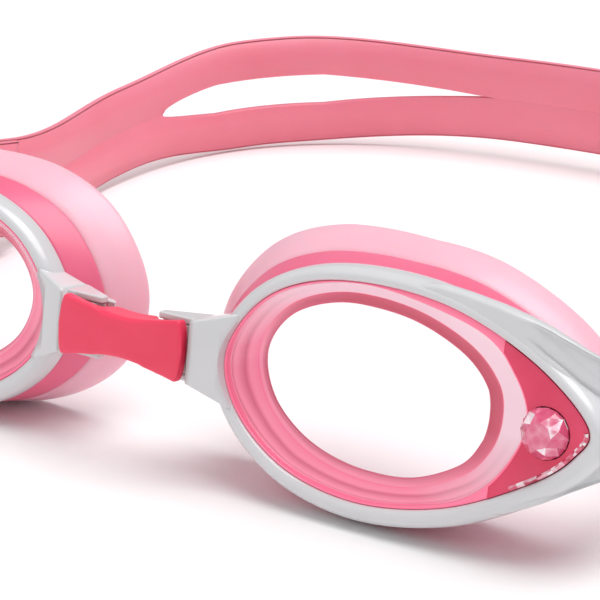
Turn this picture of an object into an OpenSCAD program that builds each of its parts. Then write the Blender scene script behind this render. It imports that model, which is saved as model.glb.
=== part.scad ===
// Swimming goggles: two leaning eye cups on a soft nose bridge, with pivoting
// temple buckles, sliding keepers and a split silicone strap.
// Z is up, the lenses face -Y, the strap runs back towards +Y and X = 0 is the
// mirror plane. Left and right are the wearer's own: left is +X.

/* [Eye cups] */
// Distance from the middle plane to the reference point of an eye opening
eye_x = 17.8; // [15:0.1:22]
// Lean of the whole front, top towards the wearer
lean = 10; // [0:1:15]
// Width of the white rim around the eye opening
rim_w = 3; // [2:0.1:4]
// Depth of the white frame from front to back
frame_depth = 3.7; // [3:0.1:5]
// Depth of the clear lens below the rim
lens_depth = 1.9; // [1:0.1:3]
// Depth of the seal base behind the front of the rim
base_depth = 7.7; // [6:0.1:10]
// Depth of the soft sealing lip behind the front of the rim
skirt_depth = 13.5; // [11:0.1:16]

/* [Bridge] */
// Half width of the bridge at its top corners
bridge_half_w = 10.7; // [9:0.1:13]
// Height of the bridge at its ends
bridge_h = 9.4; // [8:0.1:12]
// Height of the bottom corners of the bridge above the eye reference point
bridge_low = 4.4; // [3:0.1:6]
// Place of the front of the bridge, measured backwards from the front of the rim
bridge_front = -3.7; // [-5:0.1:-1]
// Distance from the middle plane to a bridge hinge
hinge_x = 7.6; // [7:0.1:9]

/* [Temple buckles] */
// Distance from the middle plane to a buckle pin
pin_x = 78.6; // [76:0.1:82]
// Distance of a buckle pin behind the front of the rim
pin_y = 24; // [22:0.5:28]
// Distance of a strap bar behind the front of the rim
bar_y = 40; // [38:0.5:46]
// Radius of a strap bar
bar_r = 1.5; // [1:0.1:2]

/* [Strap] */
// Width of the strap
strap_w = 18.4; // [15:0.1:22]
// Thickness of the strap
strap_t = 1.6; // [1:0.1:2.2]
// Half width of the strap loop round the head
loop_half_w = 87; // [78:1:95]
// Depth of the whole object, from the bridge to the back of the strap
whole_depth = 178; // [165:1:200]
// Half height of the widest place of a strap slit
slit_half_h = 3.2; // [1:0.05:4]

/* [Hidden] */
$fn = 48;
fit_gap = 0.06;       // running clearance of the hinges
part_gap = 0.08;      // gap between pieces that are fixed together
mid_z = 12.5;         // height of the temple axis above the eye reference point
steps = 6;            // points between two control points of an outline

white = [0.93, 0.93, 0.94];
deep_pink = [0.95, 0.45, 0.62];
pale_pink = [0.98, 0.78, 0.84];
coral = [0.93, 0.28, 0.4];
strap_pink = [0.94, 0.5, 0.58];

// ---- Outlines, seen from the front, counter-clockwise ----

// The eye opening: round at the nose, pointed at the temple
eye_points = [[-1.4, 9.5], [1.5, 1.3], [10.5, -5.2], [23, -7.3], [37, -4.6], [49.6, 1.9],
              [55.6, 7], [57, 11.6], [48.5, 18.3], [36, 23.2], [23.5, 24.4], [12, 22.8], [3.5, 18]];
// The lens stops short of the temple corner
lens_points = [[-1.3, 9.5], [1.6, 1.4], [10.5, -5.1], [23, -7.2], [35, -5.1], [41.9, -1.7],
               [46.1, 4.2], [46.8, 9.4], [47.6, 13.4], [42.6, 20.4], [23.5, 24.3], [12, 22.7], [3.6, 18]];
// The flat clear window of the lens
window_points = [[4.4, 11.2], [6.3, 4.2], [12.5, -1], [21, -3.4], [30, -2.9], [37.8, 0.6],
                 [42.2, 6.2], [42.7, 9.2], [42, 12.2], [36.6, 17.8], [27.5, 20.9], [17, 21.1], [8.4, 17.6]];
gem_at = [51, 9.4];
gem_r = 3.6;

function catmull(a, b, c, d, t) =
    0.5 * ((2 * b) + (c - a) * t + (2 * a - 5 * b + 4 * c - d) * t * t
           + (3 * b - a - 3 * c + d) * t * t * t);

function smooth_loop(c) = let (n = len(c))
    [for (i = [0 : n - 1], j = [0 : steps - 1])
        catmull(c[(i + n - 1) % n], c[i], c[(i + 1) % n], c[(i + 2) % n], j / steps)];

function normal_at(loop, i) =
    let (n = len(loop),
         d = loop[(i + 1) % n] - loop[(i + n - 1) % n])
    [d.y, -d.x] / norm(d);

// An outline grown outwards by an even part, more at the top, more at the nose
// and less at the temple
function grown(loop, even, top = 0, nose = 0, temple = 0) =
    [for (i = [0 : len(loop) - 1])
        let (n = normal_at(loop, i))
        loop[i] + n * (even + top * n.y + nose * max(0, -n.x) - temple * pow(max(0, n.x), 2))];

function shifted(loop) = [for (p = loop) [p.x + eye_x, p.y]];
// The points halfway between those of an outline
function halfway(loop) = let (n = len(loop))
    [for (i = [0 : n - 1]) (loop[i] + loop[(i + 1) % n]) / 2];
function at_depth(loop, y) = [for (p = loop) [p.x, y, p.y]];

eye_loop = shifted(smooth_loop(eye_points));
lens_loop = shifted(smooth_loop(lens_points));
window_loop = shifted(smooth_loop(window_points));

// The rim is narrower at the top than at the bottom
function rim(d) = grown(eye_loop, 0.86 * d, -0.14 * d);
function base_outline(d = 0) = grown(eye_loop, 2.55 + d, 0.28, 3.05, 3.25);
function skirt_outline(d = 0) = grown(eye_loop, 3.53 + d, 1.93, 5.97, 5.53);
function middle_outline(d) = (base_outline(d) + skirt_outline(d)) / 2;

// The leaning front stands on z = 0 and the whole object is centred on y = 0
function lowest(loop, y) = min([for (p = loop) p.y * cos(lean) - y * sin(lean)]);
function foremost(loop, y) = min([for (p = loop) y * cos(lean) + p.y * sin(lean)]);
front_z = -min(lowest(rim(rim_w), frame_depth), lowest(base_outline(), base_depth),
               lowest(skirt_outline(), skirt_depth), lowest(skirt_outline(-0.9), skirt_depth + 0.8));
front_y = -whole_depth / 2 - min(foremost(rim(0.7), -0.25), foremost(rim(1.7), -0.1),
                                 foremost([[0, bridge_low]], bridge_front));
back_y = whole_depth / 2 - strap_t / 2;

// ---- Lofts ----

function quad(a, b, c, d) = [[a, b, c], [a, c, d]];

// A ring: the first loop is the inner front edge, then round the section
module ring_loft(loops) {
    m = len(loops);
    n = len(loops[0]);
    polyhedron(
        points = [for (l = loops) each l],
        faces = [for (j = [0 : m - 1], i = [0 : n - 1])
            let (k = (j + 1) % m, i2 = (i + 1) % n)
            each quad(j * n + i, j * n + i2, k * n + i2, k * n + i)]);
}

// A solid plate: loops run from the front cap to the back cap
module plate_loft(loops) {
    m = len(loops);
    n = len(loops[0]);
    polyhedron(
        points = [for (l = loops) each l],
        faces = concat(
            [[for (i = [n - 1 : -1 : 0]) i]],
            [for (j = [0 : m - 2], i = [0 : n - 1])
                let (i2 = (i + 1) % n)
                each quad(j * n + i, j * n + i2, (j + 1) * n + i2, (j + 1) * n + i)],
            [[for (i = [0 : n - 1]) (m - 1) * n + i]]));
}

// ---- Placing ----

// The leaning front: x across, y backwards, z up along the lenses
module on_front() {
    translate([0, front_y, front_z])
        rotate([-lean, 0, 0])
            children();
}

module on_side(side) {
    if (side > 0) on_front() children();
    else mirror([1, 0, 0]) on_front() children();
}

function to_world(p) =
    [p.x,
     front_y + p.y * cos(lean) + p.z * sin(lean),
     front_z - p.y * sin(lean) + p.z * cos(lean)];

// A prism standing between two depths, from an outline seen from the front
module front_prism(y0, y1) {
    translate([0, y1, 0])
        rotate([90, 0, 0])
            linear_extrude(y1 - y0)
                children();
}

module upright(r, x, y, z0, z1) {
    translate([x, y, z0])
        cylinder(r = r, h = z1 - z0);
}

// ---- Bridge ----

hinge_y = 1;
bead_r = 1.5;
hook_r = 2.6;
plate_t = 2;
plate_gap = 0.55;      // room behind the plate for the swing of the frame
bridge_high = bridge_low + bridge_h;
waist = 1.5;
bridge_edge = [[0, bridge_low + waist], [4, bridge_low + 1.1], [7.5, bridge_low + 0.3],
               [9.4, bridge_low], [10.2, bridge_low + 1.2],
               [bridge_half_w + 0.7, bridge_low + 5.2], [bridge_half_w + 0.5, bridge_high - 1],
               [bridge_half_w - 0.3, bridge_high], [7.5, bridge_high - 0.3],
               [4, bridge_high - 1.1], [0, bridge_high - waist]];

module bridge_half_plate() {
    polygon(concat(bridge_edge, [[-0.02, bridge_high - waist], [-0.02, bridge_low + waist]]));
}

module bridge_half() {
    // front plate that covers the frame stubs
    front_prism(bridge_front, bridge_front + plate_t) bridge_half_plate();
    // block between the stubs, with the neck of the hinge bead
    translate([-0.02, bridge_front + plate_t, bridge_low + waist + 0.2])
        cube([4.02, 3.6, bridge_h - 2 * waist - 0.4]);
    translate([3.9, hinge_y - 0.5, bridge_low + waist + 0.2])
        cube([hinge_x - 3.9, 1, bridge_h - 2 * waist - 0.4]);
    upright(bead_r, hinge_x, hinge_y, bridge_low + 0.9, bridge_high - 0.9);
}

module nose_bridge() {
    color(coral) {
        on_side(1) bridge_half();
        on_side(-1) bridge_half();
    }
}

// ---- Frame ----

wing_turn = 13;       // outer radius where a wing turns back
wing_t = 2.7;
knuckle_r = 2.4;
wing_x = 80;          // outer face of a wing
wing_face = 0.03;     // front of a wing, about level with the rim
pin_r = 1;

// A wing and its knuckles seen from above
module wing_plan() {
    turn_x = wing_x - wing_turn;
    difference() {
        union() {
            translate([turn_x, wing_face + wing_turn]) circle(wing_turn, $fn = 96);
            translate([turn_x - 19, wing_face]) square([19, wing_t]);
            translate([wing_x - wing_t, wing_face + wing_turn])
                square([wing_t, pin_y - 0.8 - wing_turn]);
        }
        translate([turn_x, wing_face + wing_turn]) circle(wing_turn - wing_t, $fn = 96);
        translate([turn_x - 20, wing_t + wing_face]) square([20, 40]);
        translate([turn_x - 20, wing_face + wing_turn]) square([20 + wing_turn - wing_t, 40]);
    }
}

wing_side = [[55, -5.8], [59.3, -4.8], [63.8, -3.4], [69.4, -0.6], [73.1, 1.6], [76.2, 3.3],
             [79, 4.7], [82, 5.4], [82, 19.4], [78, 19.7], [74.5, 20.7], [71.4, 22.2],
             [67.9, 23.5], [64, 24.5], [60, 25.3], [55, 26], [50, 26.4], [48, 26.4], [48, 24]];
grooves = [[[64.5, 21.8], [67, 20.5], [70.2, 18.8], [73.3, 16.5], [76, 14.8], [81, 13.6]],
           [[64, -1.4], [68, 0.3], [71.9, 3], [73.8, 4.9], [76, 7.3], [81, 9.6]]];

groove_t = 0.45;

module groove(line) {
    for (i = [0 : len(line) - 2]) {
        a = line[i];
        b = line[i + 1];
        d = b - a;
        translate([a.x, 0, a.y])
            rotate([0, -atan2(d.y, d.x), 0])
                translate([0, -2, -0.35])
                    cube([norm(d), 30, 0.7]);
    }
}

module wing() {
    intersection() {
        translate([0, 0, -5]) linear_extrude(32) wing_plan();
        front_prism(-1, 30) polygon(wing_side);
    }
}

// Shallow skin on the outside of the wing, in which the grooves are cut
module wing_skin() {
    turn_x = wing_x - wing_turn;
    difference() {
        translate([turn_x, wing_face + wing_turn, -6])
            cylinder(r = wing_turn + 2, h = 40, $fn = 96);
        translate([turn_x, wing_face + wing_turn, -7])
            cylinder(r = wing_turn - groove_t, h = 42, $fn = 96);
        translate([turn_x - 20, wing_face + groove_t, -7]) cube([20, 40, 42]);
        translate([turn_x - 20, wing_face + wing_turn, -7]) cube([60, 40, 42]);
    }
}

// The arm runs forwards from the rim to a shoulder at the end of the bridge plate
arm_front = bridge_front + plate_t + plate_gap;
shoulder_x = bridge_half_w + 1.1;
arm_plan = [[hinge_x, arm_front], [shoulder_x, arm_front], [shoulder_x, bridge_front + 1.2],
            [18.6, -0.3], [18.6, 3.6], [13, 3.6], [hinge_x, hinge_y + 2.3]];
arm_side = [[hinge_x, bridge_low + 0.1], [shoulder_x - 0.3, bridge_low - 0.1], [18.6, 1.5],
            [18.6, 15.9], [shoulder_x - 0.3, bridge_high + 0.1], [hinge_x, bridge_high - 0.1]];

module stub() {
    difference() {
        union() {
            intersection() {
                translate([0, 0, -5]) linear_extrude(32) polygon(arm_plan);
                front_prism(-6, 8) polygon(arm_side);
            }
            upright(hook_r, hinge_x, hinge_y + 0.25, bridge_low + 0.1, bridge_high - 0.1);
        }
        upright(bead_r + fit_gap, hinge_x, hinge_y, bridge_low - 1, bridge_high + 1);
        // mouth of the hook, wide enough for the neck at both ends of the swing
        translate([hinge_x - 4, hinge_y - 0.95, bridge_low - 1]) cube([4, 1.9, bridge_h + 2]);
        // the hook stays behind the front plate of the bridge
        translate([hinge_x - 4, arm_front - 4, bridge_low - 1])
            cube([shoulder_x - hinge_x + 3.9, 4, bridge_h + 2]);
        front_prism(-6, 8) polygon(halfway(grown(eye_loop, 0.1)));
    }
}

module frame_piece() {
    difference() {
        union() {
            ring_loft([at_depth(rim(0), 0.2), at_depth(rim(0.7), -0.25), at_depth(rim(1.7), -0.1),
                       at_depth(rim(rim_w - 0.3), 0.9), at_depth(rim(rim_w), 2.2),
                       at_depth(rim(rim_w), frame_depth), at_depth(rim(0), frame_depth)]);
            difference() {
                wing();
                front_prism(-2, frame_depth + 0.5) polygon(halfway(grown(eye_loop, 1)));
                intersection() {
                    wing_skin();
                    for (g = grooves) groove(g);
                }
            }
            for (z = [mid_z - 6.9, mid_z + 3.5])
                upright(knuckle_r, pin_x, pin_y, z, z + 3.4);
            stub();
        }
        upright(pin_r + 0.02, pin_x, pin_y, mid_z - 8, mid_z + 8);
        // room for the knuckle of the buckle
        upright(knuckle_r + 0.3, pin_x, pin_y, mid_z - 3.5, mid_z + 3.5);
    }
}

// ---- Lens, corner plate and gem ----

module lens_piece() {
    plate_loft([at_depth(window_loop, lens_depth), at_depth(grown(lens_loop, -part_gap), 0.35),
                at_depth(grown(lens_loop, -part_gap), lens_depth + 1.6)]);
}

module corner_plate_piece() {
    front_prism(0.35, lens_depth + 1.6)
        difference() {
            intersection() {
                polygon(grown(eye_loop, -part_gap));
                translate([eye_x + 43.5, -3]) square([20, 24]);
            }
            polygon(grown(lens_loop, part_gap));
            translate([eye_x + gem_at.x, gem_at.y]) circle(gem_r + part_gap);
        }
}

module gem_piece() {
    translate([eye_x + gem_at.x, 0, gem_at.y])
        rotate([90, 0, 0]) {
            translate([0, 0, 0]) cylinder(r1 = gem_r, r2 = gem_r * 0.55, h = 2, $fn = 10);
            translate([0, 0, -1.9]) cylinder(r1 = gem_r * 0.5, r2 = gem_r, h = 1.9, $fn = 10);
        }
}

// ---- Seals ----

module seal_base_piece() {
    turn_x = wing_x - wing_turn;
    difference() {
        ring_loft([at_depth(grown(window_loop, 1.2), lens_depth + 1.7),
                   at_depth(grown(eye_loop, -0.2), lens_depth + 1.7),
                   at_depth(grown(eye_loop, -0.2), frame_depth + part_gap),
                   at_depth(rim(rim_w - 0.3), frame_depth + part_gap),
                   at_depth(base_outline(), base_depth),
                   at_depth(base_outline(-2), base_depth),
                   at_depth(grown(window_loop, 1.6), lens_depth + 3)]);
        // the temple end nestles inside the turn of the wing
        translate([0, 0, -10])
            linear_extrude(45)
                difference() {
                    translate([turn_x, -1]) square([20, wing_turn]);
                    translate([turn_x, wing_face + wing_turn])
                        circle(wing_turn - wing_t - part_gap, $fn = 96);
                }
    }
}

module seal_skirt_piece() {
    ring_loft([at_depth(base_outline(-1.9), base_depth + part_gap),
               at_depth(base_outline(-0.1), base_depth + part_gap),
               at_depth(middle_outline(0.3), (base_depth + skirt_depth) / 2),
               at_depth(skirt_outline(), skirt_depth),
               at_depth(skirt_outline(-0.9), skirt_depth + 0.8),
               at_depth(skirt_outline(-2.4), skirt_depth + 0.4),
               at_depth(middle_outline(-1.3), (base_depth + skirt_depth) / 2 + 0.5)]);
}

// ---- Buckle ----

arm_in = strap_w / 2 + 1.3;
arm_out = arm_in + 1.9;

module buckle_piece() {
    difference() {
        union() {
            upright(knuckle_r, pin_x, pin_y, mid_z - 3.2, mid_z + 3.2);
            translate([pin_x - 1.4, 0, mid_z])
                rotate([90, 0, 90])
                    linear_extrude(2.8)
                        difference() {
                            polygon([[pin_y, -3.2], [pin_y + 4, -3.2], [pin_y + 6, -arm_out],
                                     [bar_y, -arm_out], [bar_y, arm_out], [pin_y + 6, arm_out],
                                     [pin_y + 4, 3.2], [pin_y, 3.2]]);
                            translate([pin_y + 8, -arm_in])
                                square([bar_y - pin_y, 2 * arm_in]);
                        }
            for (z = [-arm_out, arm_in])
                upright(1.9, pin_x, bar_y, mid_z + z, mid_z + z + arm_out - arm_in);
            upright(bar_r, pin_x, bar_y, mid_z - arm_out, mid_z + arm_out);
        }
        upright(pin_r + fit_gap, pin_x, pin_y, mid_z - 8, mid_z + 8);
    }
}

module buckle_pin_piece() {
    upright(pin_r, pin_x, pin_y, mid_z - 7.1, mid_z + 7.1);
}

// ---- Strap ----

ply = strap_t / 2 + 0.3;                    // half distance between the two plies
bend = bar_r + 0.4 + strap_t / 2;           // radius of the strap round its bar
bar = to_world([pin_x, bar_y, mid_z]);
straight = 25.6;                            // straight run behind a bar
level_run = 60;                             // run over which the lean of the strap dies out
back_z = 12.8;                              // height of the middle of the strap at the back
side_y = back_y - 62;                       // where the loop is widest
roundness = 2.5;                            // 2 is an ellipse, more is squarer
corner_steps = 30;
slit_from = 2.8;
slit_to = 24.5;
spread_share = 0.83;                        // how far the two branches part at a slit

function smooth(t) = t * t * (3 - 2 * t);

// Height of the middle of the strap, and its lean, at a distance behind a bar
function strap_z(s) =
    let (run = back_y - bar.y - straight,
         t = min(max(s - straight, 0) / run, 1),
         z = bar.z - tan(lean) * min(s, straight))
    z + (back_z - z) * smooth(t) - tan(lean) * run * t * pow(1 - t, 3);
function strap_lean(s) = lean * (1 - min(max(s - straight, 0), level_run) / level_run);

function spread(s) = ply + (bend - ply) * (1 - smooth(min(max(s / 8, 0), 1)));

// How much of its widest the strap has reached at a share of the slit's length
function widening(t) =
    smooth(min(max((t + 0.12) / 0.4, 0), 1)) * smooth(min(max((1.05 - t) / 0.6, 0), 1));

// Stations [x, y, half height of the slit or 0, share of the widening] from the tail to the
// middle of the back
shut = 0.25;
strap_half = concat(
    [for (s = [25, 19, 13, 8, 6.4, 4.8, 3.2, 1.6]) [pin_x - spread(s), bar.y + s, 0, 0]],
    [for (a = [180 : 20 : 360]) [pin_x + bend * cos(a), bar.y + bend * sin(a), 0, 0]],
    [for (s = [1.6, 3.2, 4.8, 6.4, 8, 14, 20]) [pin_x + spread(s), bar.y + s, 0, 0]],
    [for (i = [0 : 9])
        let (y0 = bar.y + straight, t = i / 10)
        [pin_x + ply + (loop_half_w - pin_x - ply) * smooth(t), y0 + (side_y - y0) * t, 0, 0]],
    [for (i = [0 : corner_steps])
        let (a = 90 * i / corner_steps,
             t = (i - slit_from) / (slit_to - slit_from),
             inside = t > 0 && t < 1,
             g = inside ? slit_half_h * min(sqrt(t / 0.2), 1, (1 - t) / 0.45) : 0)
        [loop_half_w * pow(cos(a), 2 / roundness),
         side_y + (back_y - side_y) * pow(sin(a), 2 / roundness),
         g, widening(t)]]);

half_count = len(strap_half);
strap_path = concat(strap_half,
    [for (i = [half_count - 2 : -1 : 0]) [-strap_half[i].x, strap_half[i].y, strap_half[i].z,
                                        strap_half[i][3]]]);
strap_count = len(strap_path);

// The twelve corners of the strap's section at station i
function strap_section(i) =
    let (p = strap_path[i],
         a = strap_path[max(i - 1, 0)],
         b = strap_path[min(i + 1, strap_count - 1)],
         d = [b.x - a.x, b.y - a.y] / norm([b.x - a.x, b.y - a.y]),
         out = [d.y, -d.x, 0],
         s = p.y - bar.y,
         up = [0, sin(strap_lean(s)), cos(strap_lean(s))],
         t = strap_t / 2,
         h = strap_w / 2 + spread_share * slit_half_h * p[3],
         c = 0.35,
         g = max(p.z, shut),
         middle = [p.x, p.y, strap_z(s)])
    [for (q = [[t, h - c], [t, g], [t, -g], [t, c - h], [t - c, -h], [c - t, -h],
               [-t, c - h], [-t, -g], [-t, g], [-t, h - c], [c - t, h], [t - c, h]])
        middle + out * q.x + up * q.y];

function in_slit(i) = strap_path[i].z > 0 || strap_path[i + 1].z > 0;

module strap() {
    color(strap_pink)
        polyhedron(
            points = [for (i = [0 : strap_count - 1]) each strap_section(i)],
            faces = concat(
                [[for (k = [0 : 11]) k]],
                [for (i = [0 : strap_count - 2])
                    let (a = 12 * i, b = a + 12, cut = in_slit(i))
                    each concat(
                        [for (k = [0 : 11]) if (!(cut && (k == 1 || k == 7)))
                            each quad(a + k, b + k, b + (k + 1) % 12, a + (k + 1) % 12)],
                        cut ? quad(a + 1, b + 1, b + 8, a + 8) : [],
                        cut ? quad(a + 7, b + 7, b + 2, a + 2) : [],
                        cut && !in_slit(i - 1) ? quad(a + 1, a + 8, a + 7, a + 2) : [],
                        cut && !in_slit(i + 1) ? quad(b + 2, b + 7, b + 8, b + 1) : [])],
                [[for (k = [11 : -1 : 0]) 12 * (strap_count - 1) + k]]));
}

// ---- Keeper ----

keeper_len = 6;
keeper_from = 9;

module keeper_piece() {
    inside = ply + strap_t / 2 + 0.35;
    tall = strap_w / 2 + 0.35;
    wall = 1.1;
    difference() {
        translate([pin_x - inside - wall, bar_y + keeper_from, mid_z - tall - wall])
            cube([2 * (inside + wall), keeper_len, 2 * (tall + wall)]);
        translate([pin_x - inside, bar_y + keeper_from - 1, mid_z - tall])
            cube([2 * inside, keeper_len + 2, 2 * tall]);
    }
}

// ---- Named pieces ----

module frame_left() { color(white) on_side(1) frame_piece(); }
module frame_right() { color(white) on_side(-1) frame_piece(); }
module lens_left() { color([0.9, 0.93, 0.97, 0.4]) on_side(1) lens_piece(); }
module lens_right() { color([0.9, 0.93, 0.97, 0.4]) on_side(-1) lens_piece(); }
module corner_plate_left() { color(coral) on_side(1) corner_plate_piece(); }
module corner_plate_right() { color(coral) on_side(-1) corner_plate_piece(); }
module gem_left() { color(deep_pink) on_side(1) gem_piece(); }
module gem_right() { color(deep_pink) on_side(-1) gem_piece(); }
module seal_base_left() { color(deep_pink) on_side(1) seal_base_piece(); }
module seal_base_right() { color(deep_pink) on_side(-1) seal_base_piece(); }
module seal_skirt_left() { color(pale_pink) on_side(1) seal_skirt_piece(); }
module seal_skirt_right() { color(pale_pink) on_side(-1) seal_skirt_piece(); }
module buckle_pin_left() { color([0.75, 0.75, 0.78]) on_side(1) buckle_pin_piece(); }
module buckle_pin_right() { color([0.75, 0.75, 0.78]) on_side(-1) buckle_pin_piece(); }
module buckle_left() { color(white) on_side(1) buckle_piece(); }
module buckle_right() { color(white) on_side(-1) buckle_piece(); }
module keeper_left() { color(strap_pink) on_side(1) keeper_piece(); }
module keeper_right() { color(strap_pink) on_side(-1) keeper_piece(); }

nose_bridge();
frame_left();
frame_right();
lens_left();
lens_right();
corner_plate_left();
corner_plate_right();
gem_left();
gem_right();
seal_base_left();
seal_base_right();
seal_skirt_left();
seal_skirt_right();
buckle_pin_left();
buckle_pin_right();
buckle_left();
buckle_right();
strap();
keeper_left();
keeper_right();
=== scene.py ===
"""Looks for the swimming goggles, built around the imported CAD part."""

import math

import bmesh
import bpy
import numpy as np
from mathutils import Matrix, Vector


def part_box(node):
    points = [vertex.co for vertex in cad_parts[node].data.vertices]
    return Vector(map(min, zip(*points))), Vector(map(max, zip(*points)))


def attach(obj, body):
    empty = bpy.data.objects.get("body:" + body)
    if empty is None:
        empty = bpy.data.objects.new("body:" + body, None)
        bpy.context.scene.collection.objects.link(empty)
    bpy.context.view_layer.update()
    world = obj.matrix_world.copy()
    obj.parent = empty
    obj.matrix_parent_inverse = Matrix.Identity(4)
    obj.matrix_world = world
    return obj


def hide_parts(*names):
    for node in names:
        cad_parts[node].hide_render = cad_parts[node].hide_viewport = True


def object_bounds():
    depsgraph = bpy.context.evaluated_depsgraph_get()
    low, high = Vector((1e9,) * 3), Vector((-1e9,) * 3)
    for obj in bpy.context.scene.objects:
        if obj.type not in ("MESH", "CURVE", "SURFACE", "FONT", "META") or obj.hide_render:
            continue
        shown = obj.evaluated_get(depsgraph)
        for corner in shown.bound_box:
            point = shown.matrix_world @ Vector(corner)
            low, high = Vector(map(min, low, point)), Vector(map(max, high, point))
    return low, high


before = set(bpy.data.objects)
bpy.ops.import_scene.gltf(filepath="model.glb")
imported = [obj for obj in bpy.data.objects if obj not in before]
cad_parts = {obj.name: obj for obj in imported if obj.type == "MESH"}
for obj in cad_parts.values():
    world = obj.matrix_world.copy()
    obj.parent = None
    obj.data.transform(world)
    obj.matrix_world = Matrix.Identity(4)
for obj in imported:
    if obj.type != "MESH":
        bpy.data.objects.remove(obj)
cad_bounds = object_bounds()

MM = 0.001
SIDES = {"left": 1, "right": -1}

# ---------------------------------------------------------------- placing

LEAN = math.radians(10)          # the front leans back, top towards the wearer
PIN_X = 78.6                     # buckle pin, in front coordinates
PIN_Y = 24.0
BAR_Y = 40.0                     # bar that the strap wraps
MID_Z = 12.5                     # height of the temple axis
COS = math.cos(LEAN)
SIN = math.sin(LEAN)

pin_low, pin_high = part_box("buckle_pin_left")
pin_middle = (pin_low + pin_high) / 2 / MM
FRONT_Y = pin_middle.y - PIN_Y * COS - MID_Z * SIN
FRONT_Z = pin_middle.z + PIN_Y * SIN - MID_Z * COS


def to_world(points, side=1):
    """Front coordinates (x across, y back, z up the lens, in mm) to metres in the shared frame."""
    p = np.asarray(points, float)
    x = p[..., 0] * side
    y = FRONT_Y + p[..., 1] * COS + p[..., 2] * SIN
    z = FRONT_Z - p[..., 1] * SIN + p[..., 2] * COS
    return np.stack([x, y, z], -1) * MM


# ---------------------------------------------------------------- camera

AZIMUTH = math.radians(37.8)
ELEVATION = math.radians(22.65)
CAMERA_DISTANCE = 350.0          # from the middle of the bridge, in mm
FOCAL = 140.0                    # for a 36 mm sensor
AIM_RIGHT = 0.0766               # the aim lies right of the bridge and above it
AIM_UP = 0.0385


def make_camera():
    back = Vector((math.sin(AZIMUTH) * math.cos(ELEVATION),
                   -math.cos(AZIMUTH) * math.cos(ELEVATION),
                   math.sin(ELEVATION)))
    right = Vector((math.cos(AZIMUTH), math.sin(AZIMUTH), 0))
    up = back.cross(right)
    bridge = Vector((0, FRONT_Y - 0.9, FRONT_Z))
    data = bpy.data.cameras.new("camera")
    camera = bpy.data.objects.new("camera", data)
    bpy.context.scene.collection.objects.link(camera)
    camera.location = (bridge + back * CAMERA_DISTANCE) * MM
    ahead = -back + right * AIM_RIGHT + up * AIM_UP
    camera.rotation_euler = ahead.to_track_quat("-Z", "Y").to_euler()
    data.lens = FOCAL
    data.sensor_width = 36
    data.clip_start = 0.01
    data.clip_end = 20
    bpy.context.scene.camera = camera


make_camera()

# ---------------------------------------------------------------- materials


def new_material(name):
    mat = bpy.data.materials.new(name)
    mat.use_nodes = True
    return mat, mat.node_tree.nodes, mat.node_tree.links


def mottled(name, dark, light, scale, roughness, bump=0.02, bump_scale=900.0, **sockets):
    """A solid material whose colour drifts between two tones, with a fine surface grain."""
    mat, nodes, links = new_material(name)
    shader = nodes["Principled BSDF"]
    place = nodes.new("ShaderNodeTexCoord")
    drift = nodes.new("ShaderNodeTexNoise")
    drift.inputs["Scale"].default_value = scale
    drift.inputs["Detail"].default_value = 3
    links.new(place.outputs["Object"], drift.inputs["Vector"])
    ramp = nodes.new("ShaderNodeValToRGB")
    ramp.color_ramp.elements[0].position = 0.3
    ramp.color_ramp.elements[0].color = (*dark, 1)
    ramp.color_ramp.elements[1].position = 0.7
    ramp.color_ramp.elements[1].color = (*light, 1)
    links.new(drift.outputs["Fac"], ramp.inputs["Fac"])
    links.new(ramp.outputs["Color"], shader.inputs["Base Color"])
    grain = nodes.new("ShaderNodeTexNoise")
    grain.inputs["Scale"].default_value = bump_scale
    links.new(place.outputs["Object"], grain.inputs["Vector"])
    relief = nodes.new("ShaderNodeBump")
    relief.inputs["Strength"].default_value = bump
    relief.inputs["Distance"].default_value = 0.0004
    links.new(grain.outputs["Fac"], relief.inputs["Height"])
    links.new(relief.outputs["Normal"], shader.inputs["Normal"])
    shader.inputs["Roughness"].default_value = roughness
    for socket, value in sockets.items():
        shader.inputs[socket.replace("_", " ")].default_value = value
    return mat


def tone(red, green, blue):
    """A display colour, 0 to 255, as linear light."""
    return tuple(((c / 255 + 0.055) / 1.055) ** 2.4 for c in (red, green, blue))


def fill_ramp(ramp, stops):
    steps = ramp.color_ramp.elements
    while len(steps) < len(stops):
        steps.new(0.5)
    for step, (position, colour) in zip(steps, stops):
        step.position = position
        step.color = (*colour, 1)


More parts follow.
